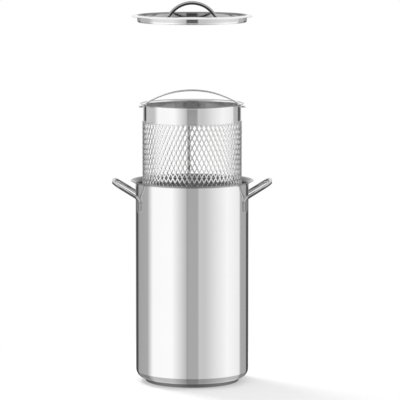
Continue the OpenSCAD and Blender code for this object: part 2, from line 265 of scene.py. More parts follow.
def share_ramp(material, value, low, high, shares):
    """Shares of brightness that follow the value from low to high."""
    nodes, links = material.node_tree.nodes, material.node_tree.links
    place_along = nodes.new("ShaderNodeMapRange")
    place_along.inputs["From Min"].default_value = low
    place_along.inputs["From Max"].default_value = high
    ramp = nodes.new("ShaderNodeValToRGB")
    elements = ramp.color_ramp.elements
    while len(elements) < len(shares):
        elements.new(0.5)
    for element, (at, share) in zip(elements, shares):
        element.position = (at - low) / (high - low)
        element.color = (share, share, share, 1)
    links.new(value, place_along.inputs["Value"])
    links.new(place_along.outputs["Result"], ramp.inputs["Fac"])
    return ramp.outputs["Color"]


def ring_share(material, radius, offsets, slant=0):
    """Shares that follow a spun piece's radius, plus its height times the slant. Each offset is
    counted outwards from the radius given."""
    nodes, links = material.node_tree.nodes, material.node_tree.links
    place = nodes.new("ShaderNodeTexCoord")
    flat = nodes.new("ShaderNodeVectorMath")
    flat.operation = "MULTIPLY"
    flat.inputs[1].default_value = (1, 1, 0)
    out_from_axis = nodes.new("ShaderNodeVectorMath")
    out_from_axis.operation = "LENGTH"
    links.new(place.outputs["Object"], flat.inputs[0])
    links.new(flat.outputs["Vector"], out_from_axis.inputs[0])
    height = nodes.new("ShaderNodeSeparateXYZ")
    slanted = nodes.new("ShaderNodeMath")
    slanted.operation = "MULTIPLY_ADD"
    slanted.inputs[1].default_value = slant
    links.new(place.outputs["Object"], height.inputs[0])
    links.new(height.outputs["Z"], slanted.inputs[0])
    links.new(out_from_axis.outputs["Value"], slanted.inputs[2])
    shares = [(radius + offset, share) for offset, share in offsets]
    return share_ramp(material, slanted.outputs[0], shares[0][0] - RAMP_MARGIN, shares[-1][0] + RAMP_MARGIN,
                      shares)


def paint_shade_by(material, share):
    """Multiplies a material's colour by the share, which paints shade into it."""
    nodes, links = material.node_tree.nodes, material.node_tree.links
    shader = nodes["Principled BSDF"]
    multiplied = nodes.new("ShaderNodeMix")
    multiplied.data_type = "RGBA"
    multiplied.blend_type = "MULTIPLY"
    multiplied.inputs["Factor"].default_value = 1
    links.new(shader.inputs["Base Color"].links[0].from_socket, multiplied.inputs[6])
    links.new(share, multiplied.inputs[7])
    links.new(multiplied.outputs[2], shader.inputs["Base Color"])


def tip_inside(high, thickness, slope):
    """The middle of a turned-out edge whose rounded end just touches the radius and height in high."""
    back = thickness / 2
    end_rise = back * math.cos(slope) + back * (1 - math.sin(slope)) * math.tan(slope)
    return high.x - back - BOX_CLEARANCE, high.z - end_rise


rim_tip = tip_inside(pot_high, POT_SHEET, RIM_SLOPE)
pot_path = [(0, POT_FLOOR)]
pot_path += arc_path((POT_WALL - POT_CORNER, POT_FLOOR + POT_CORNER), POT_CORNER, -math.pi / 2, 0, steps=14)
pot_path += flare_path(POT_WALL, *rim_tip, RIM_SLOPE, RIM_BEND)

# Painted shade: the pot's inside is darkened to about half, and the outer part of its rim to a third.
BORE_AND_RIM_SHADE = [(-0.0002, 0.52), (0.0001, 1), (0.002, 1), (0.004, 0.33)]
# Painted shade: a slanted mask darkens the rim's upper side from the bend out to FUNNEL_DARK_TO, and leaves
# it pale from FUNNEL_PALE_FROM.
FUNNEL_SLANT = 1.47
FUNNEL_SHADE = 0.1
FUNNEL_DARK_TO = 0.0838
FUNNEL_PALE_FROM = 0.0862


def funnel_place(radius):
    """The place of the rim's upper side on the slanted scale of its painted shade, where its underside lies
    further on.
    """
    middle = rim_tip[1] + (radius - rim_tip[0]) * math.tan(RIM_SLOPE)
    return radius - FUNNEL_SLANT * (middle + POT_SHEET / 2 / math.cos(RIM_SLOPE))


pot_steel = spun_steel("pot_steel")
paint_shade_by(pot_steel, ring_share(pot_steel, POT_WALL, BORE_AND_RIM_SHADE))
paint_shade_by(pot_steel, ring_share(pot_steel, 0, [(funnel_place(FUNNEL_DARK_TO), FUNNEL_SHADE),
                                             (funnel_place(FUNNEL_PALE_FROM), 1)], slant=-FUNNEL_SLANT))
pot_body = finished_piece("pot_shell", spun_sheet(pot_path, POT_SHEET), pot_steel)
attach(pot_body, "pot")
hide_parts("pot_body")


# The sandwich base: a disc of aluminium pressed under the pot inside a thin steel
# cap. Only the cap shows, as a low step with a rounded edge under the body.
CAP_SHEET = 0.0006
CAP_BEND = 0.002 - CAP_SHEET / 2
cap_low, cap_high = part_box("base_cap")
cap_edge = cap_high.x - CAP_SHEET / 2

cap_path = [(0, cap_low.z + CAP_SHEET / 2)]
cap_path += arc_path((cap_edge - CAP_BEND, cap_low.z + CAP_SHEET / 2 + CAP_BEND), CAP_BEND, -math.pi / 2, 0)
cap_path += [(cap_edge, cap_high.z)]
# Its dark grey is painted shade, standing in for the shadow under the pot that the cap mirrors.
shaded_base_steel = steel_material("shaded_base_steel", light=136, dark=112, polished=0.42, dull=0.5,
                                 line_scale=(40, 40, 1800), line_depth=0.5)
base_cap = finished_piece("base_cap_shell", spun_sheet(cap_path, CAP_SHEET), shaded_base_steel)
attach(base_cap, "pot")
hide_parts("base_cap")


def coat(node_name, material):
    """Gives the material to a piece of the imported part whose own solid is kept."""
    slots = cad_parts[node_name].data.materials
    slots.clear()
    slots.append(material)


rolled_aluminium = steel_material("rolled_aluminium", light=222, dark=208, polished=0.3, dull=0.42,
                                  line_scale=(900, 30, 30), line_depth=0.6)
coat("base_core", rolled_aluminium)


# The side handles: each is one steel rod bent into a loop, its two ends pressed
# flat and spot-welded to the wall. The loops slant up and outwards past the rim.
ROD = 0.0052
ROD_SIDES = 24
LEG_OFFSET = 0.030
LEG_SLOPE = math.radians(32)
WALL_BEND = 0.009
GRIP_BEND = 0.013
GRIP_REACH = 0.0307
GRIP_DROP = 0.0016
FOOT_LENGTH = 0.015
FOOT_WIDTH = 0.013
FOOT_THICKNESS = 0.0024
FOOT_END_START = 0.0006
FOOT_END_REACH = FOOT_WIDTH / 2.4
FOOT_TO_ROD = 0.009
HANDLE_STEP = 0.0022
WELD_GAP = 0.00005
MERGE_DISTANCE = 1e-5
SQUARENESS = 0.6
FLAT_SIDE_SHARE = 0.25
FACING_DOWN = -0.3


def rounded_path(corners, radii, steps=10):
    """A path through straight runs with each inner corner rounded to its radius."""
    points = [Vector(corners[0])]
    for before, corner, after, radius in zip(corners, corners[1:], corners[2:], radii):
        into = (Vector(corner) - Vector(before)).normalized()
        out = (Vector(after) - Vector(corner)).normalized()
        turn = into.angle(out)
        reach = radius * math.tan(turn / 2)
        middle = Vector(corner) + (out - into).normalized() * radius / math.cos(turn / 2)
        start = Vector(corner) - into * reach - middle
        axis = into.cross(out)
        for i in range(steps + 1):
            points.append(middle + Matrix.Rotation(turn * i / steps, 3, axis) @ start)
    points.append(Vector(corners[-1]))
    return points


def swept(path, width_axis, section):
    """Sweeps a rounded section along the path. section(i) gives its width, thickness and flatness.
    Each point notes how far it lies on the upper side, from -1 to 1, and less so where it is flat. The
    handles' painted shade follows this note."""
    bm = bmesh.new()
    upper = bm.verts.layers.float.new("upper_side")
    across = Vector(width_axis).normalized()
    ring = bmesh.ops.create_circle(bm, segments=ROD_SIDES, radius=1)["verts"]
    shape = [math.atan2(v.co.y, v.co.x) for v in ring]
    edges = list(bm.edges)
    for i, point in enumerate(path):
        along = (path[min(i + 1, len(path) - 1)] - path[max(i - 1, 0)]).normalized()
        across = (across - along * across.dot(along)).normalized()
        up = along.cross(across)
        width, thickness, flatness = section(i)
        power = 1 - SQUARENESS * flatness
        if i:
            grown = bmesh.ops.extrude_edge_only(bm, edges=edges)["geom"]
            edges = [g for g in grown if isinstance(g, bmesh.types.BMEdge)]
            ring = ring_after(ring, grown)
        for vert, a in zip(ring, shape):
            wide = math.copysign(abs(math.cos(a)) ** power, math.cos(a)) * width / 2
            thick = math.copysign(abs(math.sin(a)) ** power, math.sin(a)) * thickness / 2
            vert.co = point + across * wide + up * thick
            side = math.sin(a) * (1 - (1 - FLAT_SIDE_SHARE) * flatness)
            vert[upper] = side if up.z > FACING_DOWN else -side
        if i == 0:
            bmesh.ops.contextual_create(bm, geom=ring)
    return bm


def ring_after(ring, grown):
    """The new ring's vertices, in the order of the ring that they were extruded from."""
    new = {g for g in grown if isinstance(g, bmesh.types.BMVert)}
    return [next(e.other_vert(v) for e in v.link_edges if e.other_vert(v) in new) for v in ring]


def ease(t):
    """A smooth step from 0 to 1 as t goes from 0 to 1."""
    t = max(0.0, min(1.0, t))
    return t * t * (3 - 2 * t)


def path_lengths(path):
    """How far along the path each of its points lies."""
    lengths = [0.0]
    for a, b in zip(path, path[1:]):
        lengths.append(lengths[-1] + (b - a).length)
    return lengths


def dense(path, step):
    """Adds points to long straight runs, so that a section can change along them."""
    points = [path[0]]
    for a, b in zip(path, path[1:]):
        parts = max(1, round((b - a).length / step))
        points += [a.lerp(b, i / parts) for i in range(1, parts + 1)]
    return points


def rounded_foot(along, start, reach):
    """The share of its width that a foot with a rounded end has at this distance from its end."""
    return math.sqrt(1 - max(0, 1 - (along + start) / reach) ** 2)


handle_low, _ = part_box("handle_right")
foot_angle = math.asin(LEG_OFFSET / POT_RADIUS)
foot_radius = POT_RADIUS + WELD_GAP + FOOT_THICKNESS / 2
leg_x, leg_y = foot_radius * math.cos(foot_angle), foot_radius * math.sin(foot_angle)
grip_x = POT_RADIUS + GRIP_REACH
grip_z = pot_high.z - GRIP_DROP
wall_corner_z = grip_z - (grip_x - leg_x) * math.tan(LEG_SLOPE)
handle_corners = [(leg_x, leg_y, handle_low.z), (leg_x, leg_y, wall_corner_z),
                  (grip_x, leg_y, grip_z), (grip_x, 0, grip_z)]
handle_path = dense(rounded_path(handle_corners, [WALL_BEND, GRIP_BEND]), HANDLE_STEP)
handle_lengths = path_lengths(handle_path)


def handle_section(i):
    """Flat with a rounded end on the wall, and round from the bend outwards."""
    along = handle_lengths[i]
    lifted = ease((along - FOOT_LENGTH) / FOOT_TO_ROD)
    width = FOOT_WIDTH + (ROD - FOOT_WIDTH) * lifted
    thickness = FOOT_THICKNESS + (ROD - FOOT_THICKNESS) * lifted
    return width * rounded_foot(along, FOOT_END_START, FOOT_END_REACH), thickness, 1 - lifted


def side_shade(material, shares):
    """Shares of painted shade that follow a swept piece from its lower side (-1) over the middle (0) to its
    upper side (1).
    """
    side = material.node_tree.nodes.new("ShaderNodeAttribute")
    side.attribute_name = "upper_side"
    return share_ramp(material, side.outputs["Fac"], -1, 1, shares)


# Painted shade: dark lines along the rod's lower and upper sides stand in for dark reflections, with a
# lighter band between them.
ROD_SIDE_SHADES = [(-1, 0.4), (-0.85, 0.12), (-0.6, 0.15), (-0.2, 0.8), (0.45, 1), (0.8, 0.3), (0.92, 0.2),
              (1, 0.45)]
handle_steel = steel_material("handle_steel", light=214, dark=198, polished=0.05, dull=0.11,
                              line_scale=(260, 260, 260), line_depth=0.3)
paint_shade_by(handle_steel, side_shade(handle_steel, ROD_SIDE_SHADES))
for side, body_side in (("right", 0), ("left", math.pi)):
    bm = swept(handle_path, (-math.sin(foot_angle), math.cos(foot_angle), 0), handle_section)
    bmesh.ops.mirror(bm, geom=bm.verts[:] + bm.edges[:] + bm.faces[:], axis="Y", merge_dist=MERGE_DISTANCE)
    bmesh.ops.recalc_face_normals(bm, faces=bm.faces)
    bmesh.ops.rotate(bm, verts=bm.verts, cent=(0, 0, 0), matrix=Matrix.Rotation(body_side, 3, "Z"))
    handle = finished_piece("side_handle_" + side, bm, handle_steel)
    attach(handle, "pot")
    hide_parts("handle_" + side)


# The insert's collar: a straight steel band with its upper edge turned out into a
# lip, and two small holes under the lip that hold the ends of the bail.
COLLAR_SHEET = 0.0008
COLLAR_WALL = 0.0699 - COLLAR_SHEET / 2
COLLAR_LAP = 0.002
LIP_SLOPE = math.radians(22)
LIP_BEND = 0.0015
# Painted shade: the collar's inside is darkened a little, and the outer part of its lip to under a third.
INSIDE_AND_LIP_SHADE = [(-0.0003, 0.72), (0.0001, 1), (0.001, 1), (0.0025, 0.3)]
_, collar_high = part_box("insert_collar")

lip_tip = tip_inside(collar_high, COLLAR_SHEET, LIP_SLOPE)
collar_path = [(COLLAR_WALL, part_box("insert_mesh")[1].z - COLLAR_LAP)]
collar_path += flare_path(COLLAR_WALL, *lip_tip, LIP_SLOPE, LIP_BEND)
collar_steel = spun_steel("collar_steel")
paint_shade_by(collar_steel, ring_share(collar_steel, COLLAR_WALL, INSIDE_AND_LIP_SHADE))
collar = finished_piece("collar_band", spun_sheet(collar_path, COLLAR_SHEET), collar_steel)
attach(collar, "insert")
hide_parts("insert_collar")


# The insert's wall: one sheet of expanded steel, slit and stretched into diamonds,
# rolled into a tube and welded over the collar and the bottom dish. Each strand
# is twisted a little, as the stretching leaves it.
MESH_COLUMNS = 64
MESH_ROW = 0.00715
FIRST_ROW_DROP = -0.0024
MESH_RADIUS = 0.0705
MESH_THICKNESS = 0.0008
MESH_HEM = 0.0012
STRAND = 0.00125
STRAND_TWIST = 0.00016
TIP_CUT = 0.0012
SIDE_CUT = 0.0004
# Painted shade on the mesh's inner face: dark at the knots and unshaded along the strands. The outer face is
# left unshaded.
KNOT_SHADE_LEVEL = 0.08
KNOT_END = 0.08
STRAND_START = 0.24
INNER_FACE_SHADE = [(-0.00025, 0), (-0.00005, 1)]
mesh_low, mesh_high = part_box("insert_mesh")

bm = bmesh.new()
half_step = math.pi / MESH_COLUMNS
row_count = math.ceil((mesh_high.z - mesh_low.z) / MESH_ROW)
for row in range(row_count + 1):
    middle = mesh_high.z - FIRST_ROW_DROP - row * MESH_ROW
    turn = (row % 2) * half_step
    corners = ((turn, -MESH_ROW), (turn + half_step, 0), (turn, MESH_ROW), (turn - half_step, 0))
    verts = [bm.verts.new((MESH_RADIUS * math.cos(a), MESH_RADIUS * math.sin(a), middle + h))
             for a, h in corners]
    bm.faces.new(verts)
bmesh.ops.spin(bm, geom=bm.verts[:] + bm.edges[:] + bm.faces[:], axis=(0, 0, 1), cent=(0, 0, 0),
               angle=2 * math.pi * (MESH_COLUMNS - 1) / MESH_COLUMNS, steps=MESH_COLUMNS - 1,
               use_duplicate=True)
bmesh.ops.remove_doubles(bm, verts=bm.verts, dist=MERGE_DISTANCE)
diamonds = bm.faces[:]
bmesh.ops.inset_individual(bm, faces=diamonds, thickness=STRAND / 2, depth=0, use_even_offset=True)
tips, sides = [], []
for diamond in diamonds:
    low, *middle_pair, high = sorted(diamond.verts, key=lambda v: v.co.z)
    for vert, push in ((low, STRAND_TWIST), (high, -STRAND_TWIST)):
        vert.co.xy *= 1 + push / MESH_RADIUS
    tips += [low, high]
    sides += middle_pair
bmesh.ops.delete(bm, geom=diamonds, context="FACES")
bmesh.ops.bevel(bm, geom=tips, affect="VERTICES", offset=TIP_CUT, segments=2, profile=0.5, material=-1)
bmesh.ops.bevel(bm, geom=[v for v in sides if v.is_valid], affect="VERTICES", offset=SIDE_CUT, segments=1,
                profile=0.5, material=-1)
for height, outwards in ((mesh_high.z - MESH_HEM, 1), (mesh_low.z + MESH_HEM, -1)):
    bmesh.ops.bisect_plane(bm, geom=bm.verts[:] + bm.edges[:] + bm.faces[:], plane_co=(0, 0, height),
                           plane_no=(0, 0, outwards), clear_outer=True)
for low, high in ((mesh_high.z - MESH_HEM, mesh_high.z), (mesh_low.z, mesh_low.z + MESH_HEM)):
    ends = [bm.verts.new((MESH_RADIUS, 0, z)) for z in (low, high)]
    hem_edge = bm.edges.new(ends)
    bmesh.ops.spin(bm, geom=ends + [hem_edge], axis=(0, 0, 1), cent=(0, 0, 0), angle=2 * math.pi,
                   steps=2 * MESH_COLUMNS, use_merge=True)
bmesh.ops.recalc_face_normals(bm, faces=bm.faces)
for vert in bm.verts:
    vert.co.xy *= (MESH_RADIUS + MESH_THICKNESS / 2) / MESH_RADIUS
bmesh.ops.solidify(bm, geom=bm.faces[:], thickness=MESH_THICKNESS)
bmesh.ops.recalc_face_normals(bm, faces=bm.faces)


def knot_shade(material):
    """Painted shade by height: low up to KNOT_END of a row from the knots, and full from STRAND_START on."""
    nodes, links = material.node_tree.nodes, material.node_tree.links
    place = nodes.new("ShaderNodeTexCoord")
    height = nodes.new("ShaderNodeSeparateXYZ")
    rows_up = nodes.new("ShaderNodeMath")
    rows_up.operation = "MULTIPLY_ADD"
    rows_up.inputs[1].default_value = 1 / MESH_ROW
    rows_up.inputs[2].default_value = (FIRST_ROW_DROP - mesh_high.z) / MESH_ROW
    from_knot = nodes.new("ShaderNodeMath")
    from_knot.operation = "PINGPONG"
    from_knot.inputs[1].default_value = 0.5
    share = nodes.new("ShaderNodeMapRange")
    share.interpolation_type = "SMOOTHSTEP"
    share.inputs["From Min"].default_value = KNOT_END
    share.inputs["From Max"].default_value = STRAND_START
    share.inputs["To Min"].default_value = KNOT_SHADE_LEVEL
    links.new(place.outputs["Object"], height.inputs[0])
    links.new(height.outputs["Z"], rows_up.inputs[0])
    links.new(rows_up.outputs[0], from_knot.inputs[0])
    links.new(from_knot.outputs[0], share.inputs["Value"])
    return share.outputs["Result"]


expanded_steel = steel_material("expanded_steel", light=244, dark=234, polished=0.09, dull=0.16,
                                line_scale=(500, 500, 500), line_depth=0.3)
# Painted shade: the knots' dark is painted on the inner face only.
knot_shade_on_inner_face = expanded_steel.node_tree.nodes.new("ShaderNodeMath")
knot_shade_on_inner_face.operation = "MAXIMUM"
expanded_steel.node_tree.links.new(knot_shade(expanded_steel), knot_shade_on_inner_face.inputs[0])
expanded_steel.node_tree.links.new(ring_share(expanded_steel, MESH_RADIUS, INNER_FACE_SHADE),
                                   knot_shade_on_inner_face.inputs[1])
paint_shade_by(expanded_steel, knot_shade_on_inner_face.outputs[0])
strainer_wall = finished_piece("expanded_mesh_wall", bm, expanded_steel, sharp_angle=30)
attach(strainer_wall, "insert")
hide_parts("insert_mesh")

seam_steel = steel_material("seam_steel", light=214, dark=196, polished=0.2, dull=0.3,
                            line_scale=(500, 500, 60), line_depth=0.3)
coat("mesh_seam", seam_steel)


# The strainer floor: a pressed steel dish with rings of drain holes. It stands on
# the ring round its floor, and the mesh is welded round its short wall.
coat("insert_dish", spun_steel("round_grain_steel"))


# The bail: a spring-steel wire bow that lifts the insert. Its ends turn down and
# out through the collar's holes, and are upset so that they can't slip back.
WIRE = 0.0026
BOW_RADIUS = 0.12697
BOW_RISE = 0.0234
BOW_STEPS = 24
LEG_RISE = 0.0052
BOW_END_BEND = 0.003
KNEE_X = 0.0671
KNEE_BEND = 0.0022
HEAD = 0.0038
HEAD_TIP = 0.8 * HEAD
HEAD_LENGTH = 0.0009
HEAD_SHOULDER = 0.95 * HEAD_LENGTH
_, bail_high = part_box("bail")
pivot_z = bail_high.z - BOW_RISE - WIRE / 2

bow_end_angle = math.acos(1 - (BOW_RISE - LEG_RISE) / BOW_RADIUS)
bow_centre_z = pivot_z + BOW_RISE - BOW_RADIUS
bow = [Vector((BOW_RADIUS * math.sin(a), 0, bow_centre_z + BOW_RADIUS * math.cos(a)))
       for a in (bow_end_angle * i / BOW_STEPS for i in range(BOW_STEPS + 1))]
bow_end = bow.pop()
bail_corners = [bow[-1], bow_end, (KNEE_X, 0, pivot_z), (bail_high.x, 0, pivot_z)]
bail_path = bow[:-1] + rounded_path(bail_corners, [BOW_END_BEND, KNEE_BEND], steps=6)
bail_path.insert(-1, bail_path[-1] - Vector((HEAD_LENGTH, 0, 0)))
bail_path.insert(-1, bail_path[-1] - Vector((HEAD_SHOULDER, 0, 0)))
bail_path.reverse()


def wire_section(i):
    """Round wire, with a thicker head at its outer end, where the path starts."""
    size = (HEAD_TIP, HEAD, WIRE)[min(i, 2)]
    return size, size, 0


bright_wire = steel_material("bright_wire", light=240, dark=230, polished=0.07, dull=0.14,
                             line_scale=(60, 900, 900), line_depth=0.3)
bm = swept(bail_path, (0, 1, 0), wire_section)
bmesh.ops.mirror(bm, geom=bm.verts[:] + bm.edges[:] + bm.faces[:], axis="X", merge_dist=MERGE_DISTANCE)
bmesh.ops.recalc_face_normals(bm, faces=bm.faces)
bail = finished_piece("bail_wire", bm, bright_wire)
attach(bail, "bail")
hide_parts("bail")


# The lid: a recessed disc pressed from one sheet. Its skirt drops inside the pot,
# its flange turns down to lie in the pouring rim, and its floor rises to the middle.
LID_SHEET = 0.0008
LID_CLEARANCE = 0.0019
LID_WALL = POT_RADIUS - POT_SHEET - LID_CLEARANCE - LID_SHEET / 2
LID_CORNER = 0.002
LID_BEND = 0.0015
LID_RECESS = 0.0081
DOME_RADIUS = 0.470
DOME_STEPS = 24
FLANGE_FALL = math.radians(15)
# Painted shade: the lid's inside is darkened a little, and a slanted mask darkens most of the recess floor
# and the bend at the skirt's top.
INSIDE_SKIRT_SHADE = [(-0.0003, 0.8), (0, 1)]
RECESS_AND_BEND_SHADE = [(0.0014, 0.28), (0.0019, 1)]
lid_low, lid_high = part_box("lid_cover")
dome_end = math.asin((LID_WALL - LID_CORNER) / (DOME_RADIUS + LID_CORNER))
lid_z = lid_low.z + LID_SHEET / 2 + LID_CORNER * (1 - math.cos(dome_end)) + LID_RECESS
dome_centre_z = lid_z - LID_RECESS - DOME_RADIUS * math.cos(dome_end)

lid_path = [(DOME_RADIUS * math.sin(dome_end * i / DOME_STEPS),
             dome_centre_z + DOME_RADIUS * math.cos(dome_end * i / DOME_STEPS)) for i in range(DOME_STEPS)]
lid_corner_z = lid_z - LID_RECESS + LID_CORNER * math.cos(dome_end)
lid_path += arc_path((LID_WALL - LID_CORNER, lid_corner_z), LID_CORNER, -math.pi / 2 - dome_end, 0, steps=12)
lid_path += flare_path(LID_WALL, lid_high.x - LID_SHEET / 2 - BOX_CLEARANCE, lid_z, -FLANGE_FALL, LID_BEND)
lid_steel = spun_steel("lid_steel", light=243, dark=238)
paint_shade_by(lid_steel, ring_share(lid_steel, LID_WALL, INSIDE_SKIRT_SHADE))
paint_shade_by(lid_steel, ring_share(lid_steel, LID_WALL - lid_high.z, RECESS_AND_BEND_SHADE, slant=-1))
lid_cover = finished_piece("lid_disc", spun_sheet(lid_path, LID_SHEET), lid_steel)
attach(lid_cover, "lid")
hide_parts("lid_cover")


# The lid's handle: a thick steel strip bent into a low bow. Its ends are pressed
# flat, turned outwards and spot-welded to the lid's floor.
STRIP_WIDTH = 0.011
STRIP_THICKNESS = 0.0053
STRIP_OUTER_RADIUS = 0.0405
STRIP_RADIUS = STRIP_OUTER_RADIUS - STRIP_THICKNESS / 2
STRIP_FLATNESS = 0.3
STRIP_STEP = 0.0016
BOW_STRIP_STEPS = 24
FOOT_BEND_STEPS = 8
LID_FOOT_WIDTH = 0.0125
LID_FOOT_LENGTH = 0.0095
LID_FOOT_THICKNESS = 0.0018
LID_FOOT_BEND = 0.008
LID_FOOT_END_START = 0.0005
LID_FOOT_END_REACH = LID_FOOT_WIDTH / 2.2
LID_FOOT_FLAT = LID_FOOT_LENGTH - 0.001
LID_FOOT_TO_STRIP = 0.012
_, strip_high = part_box("lid_handle")


def in_front_plane(angle):
    """The direction at an angle from straight up, turned towards +X."""
    return Vector((math.sin(angle), 0, math.cos(angle)))


foot_tilt = math.asin(STRIP_OUTER_RADIUS / DOME_RADIUS)
strip_centre = Vector((0, 0, strip_high.z - STRIP_THICKNESS / 2 - STRIP_RADIUS))
foot_down = Vector((math.cos(foot_tilt), 0, -math.sin(foot_tilt)))
dome_middle = Vector((0, 0, dome_centre_z))
foot_line = DOME_RADIUS + LID_SHEET / 2 + WELD_GAP + LID_FOOT_THICKNESS / 2
above_centre = foot_line - (strip_centre - dome_middle).dot(in_front_plane(foot_tilt))
strip_turn = math.acos((above_centre + LID_FOOT_BEND) / (STRIP_RADIUS + LID_FOOT_BEND))
strip_end_angle = strip_turn + foot_tilt
bend_centre = strip_centre + (STRIP_RADIUS + LID_FOOT_BEND) * in_front_plane(strip_end_angle)
strip_path = [strip_centre + STRIP_RADIUS * in_front_plane(strip_end_angle * i / BOW_STRIP_STEPS)
              for i in range(BOW_STRIP_STEPS + 1)]
foot_bend_angles = [foot_tilt + strip_turn * (1 - i / FOOT_BEND_STEPS) for i in range(1, FOOT_BEND_STEPS + 1)]
strip_path += [bend_centre - LID_FOOT_BEND * in_front_plane(angle) for angle in foot_bend_angles]
strip_path += [strip_path[-1] + foot_down * LID_FOOT_LENGTH]
strip_path = dense(strip_path, STRIP_STEP)[::-1]
strip_lengths = path_lengths(strip_path)


def strip_section(i):
    """Flat with a rounded end on the lid, and thick from the bend upwards."""
    along = strip_lengths[i]
    lifted = ease((along - LID_FOOT_FLAT) / LID_FOOT_TO_STRIP)
    width = LID_FOOT_WIDTH + (STRIP_WIDTH - LID_FOOT_WIDTH) * lifted
    thickness = LID_FOOT_THICKNESS + (STRIP_THICKNESS - LID_FOOT_THICKNESS) * lifted
    end_share = rounded_foot(along, LID_FOOT_END_START, LID_FOOT_END_REACH)
    return width * end_share, thickness, 1 - (1 - STRIP_FLATNESS) * lifted


# Painted shade: the whole strip is darkened, its lower side most, with a lighter band on its upper side.
STRIP_SIDE_SHADES = [(-0.7, 0.08), (-0.35, 0.08), (0.05, 0.35), (0.35, 0.62), (0.62, 0.3), (0.77, 0.5)]
bm = swept(strip_path, (0, 1, 0), strip_section)
bmesh.ops.mirror(bm, geom=bm.verts[:] + bm.edges[:] + bm.faces[:], axis="X", merge_dist=MERGE_DISTANCE)
bmesh.ops.recalc_face_normals(bm, faces=bm.faces)
satin_strip = steel_material("satin_strip", light=240, dark=190, polished=0.12, dull=0.2,
                             line_scale=(60, 900, 900), line_depth=0.6)
paint_shade_by(satin_strip, side_shade(satin_strip, STRIP_SIDE_SHADES))
lid_handle = finished_piece("lid_bow_handle", bm, satin_strip)
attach(lid_handle, "lid")
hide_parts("lid_handle")


# The floor: a wide white sheet. The camera sees plain white mixed into its shading, and
# more of it further from the pot, which leaves only a soft shadow near the base.
FLOOR_RADIUS = 60
FLOOR_DROP = 0.0002
PLAIN_SHARE_NEAR = 0.35
SHADOW_START = 0.14
SHADOW_END = 0.42

bm = bmesh.new()
bmesh.ops.create_circle(bm, segments=64, radius=FLOOR_RADIUS, cap_ends=True)
floor_white = bpy.data.materials.new("floor_white")
floor_white.use_nodes = True
nodes, links = floor_white.node_tree.nodes, floor_white.node_tree.links
nodes.clear()
shaded = nodes.new("ShaderNodeBsdfDiffuse")
shaded.inputs["Color"].default_value = (0.98, 0.98, 0.98, 1)
plain = nodes.new("ShaderNodeEmission")
seen_share = nodes.new("ShaderNodeMath")
seen_share.operation = "MULTIPLY"
distance = nodes.new("ShaderNodeVectorMath")
distance.operation = "LENGTH"
floor_place = nodes.new("ShaderNodeTexCoord")
plain_share = nodes.new("ShaderNodeMapRange")
plain_share.interpolation_type = "SMOOTHSTEP"
plain_share.inputs["From Min"].default_value = SHADOW_START
plain_share.inputs["From Max"].default_value = SHADOW_END
plain_share.inputs["To Min"].default_value = PLAIN_SHARE_NEAR
links.new(floor_place.outputs["Object"], distance.inputs[0])
links.new(distance.outputs["Value"], plain_share.inputs["Value"])
links.new(plain_share.outputs["Result"], seen_share.inputs[1])
light_path = nodes.new("ShaderNodeLightPath")
mixed = nodes.new("ShaderNodeMixShader")
output = nodes.new("ShaderNodeOutputMaterial")
links.new(light_path.outputs["Is Camera Ray"], seen_share.inputs[0])
links.new(seen_share.outputs[0], mixed.inputs["Fac"])
links.new(shaded.outputs[0], mixed.inputs[1])
links.new(plain.outputs[0], mixed.inputs[2])
links.new(mixed.outputs[0], output.inputs["Surface"])
floor = finished_piece("floor", bm, floor_white)
floor.location.z = -FLOOR_DROP
floor.visible_glossy = False


# The studio round the pot, as the polished steel shows it: white panels to the left
# and right, greyer gaps between them, and darker strips behind. Each turn is an angle
# from the camera's side to the right, with a grey from 0 to 255 or a share of a mask.
PANELS = [(-180, 140), (-167, 140), (-162, 70), (-148, 74), (-141, 160), (-104, 168), (-88, 250),
          (-42, 252), (-12, 186), (-10, 152), (-8, 168), (11, 168), (13, 178), (14.6, 204), (16.5, 196),
          (27, 198), (50, 226), (77, 248), (100, 240), (113, 234), (118, 166), (143, 164), (150, 62),
          (162, 58), (167, 140), (180, 140)]
FRONT_GAP = [(-13, 0), (-10, 1), (11, 1), (14, 0)]
FRONT_GAP_GREY = 84
BACK_GAP = [(-180, 1), (-148, 1), (-141, 0), (143, 0), (150, 1), (180, 1)]
BACK_GAP_GREY = 76
LID_EDGES = [(-180, 1), (-146, 1), (-138, 0), (138, 0), (146, 1), (180, 1)]
LID_EDGES_GREY = 150
BEHIND = [(-180, 1), (-150, 1), (-120, 0), (120, 0), (150, 1), (180, 1)]
BEHIND_GREY = 236
COLLAR_SIDES = [(-180, 0.8), (-102, 0.8), (-96, 0), (113, 0), (118, 0.4), (180, 0.6)]
COLLAR_SIDES_GREY = 205
COLLAR_EDGES = [(-158, 0), (-154, 1), (-140, 1), (-137, 0), (137, 0), (140, 1), (155, 1), (159, 0)]
COLLAR_EDGES_GREY = 60
OVERHEAD_GREY = 250
LID_GREY = 190
LID_GREY_SHARE = 0.6
# A rise is the height of a direction, with 0 straight down, 0.5 level and 1 straight up.
# The camera sees the lowest rises mirrored in the pot, then the collar's, then the lid's.
COLLAR_RISE = [(0.451, 0), (0.4535, 1), (0.461, 1), (0.465, 0)]
LID_RISE = [(0.465, 0), (0.469, 1), (0.5, 1), (0.505, 0)]
FRONT_GAP_RISE = [(0.455, 0), (0.467, 1), (1, 1)]
BACK_GAP_RISE = [(0.44, 0), (0.463, 1), (0.467, 0)]
BEHIND_RISE = [(0.505, 0), (0.518, 1), (1, 1)]
OVERHEAD_RISE = [(0, 0), (0.62, 0), (0.72, 1)]
DOWNWARDS = -0.02
STRIPE_POINT = 0.985
STUDIO_STRENGTH = 1.15
AMBIENT_STRENGTH = 1.02

world = bpy.data.worlds.new("studio")
scene.world = world
world.use_nodes = True
nodes, links = world.node_tree.nodes, world.node_tree.links
nodes.clear()


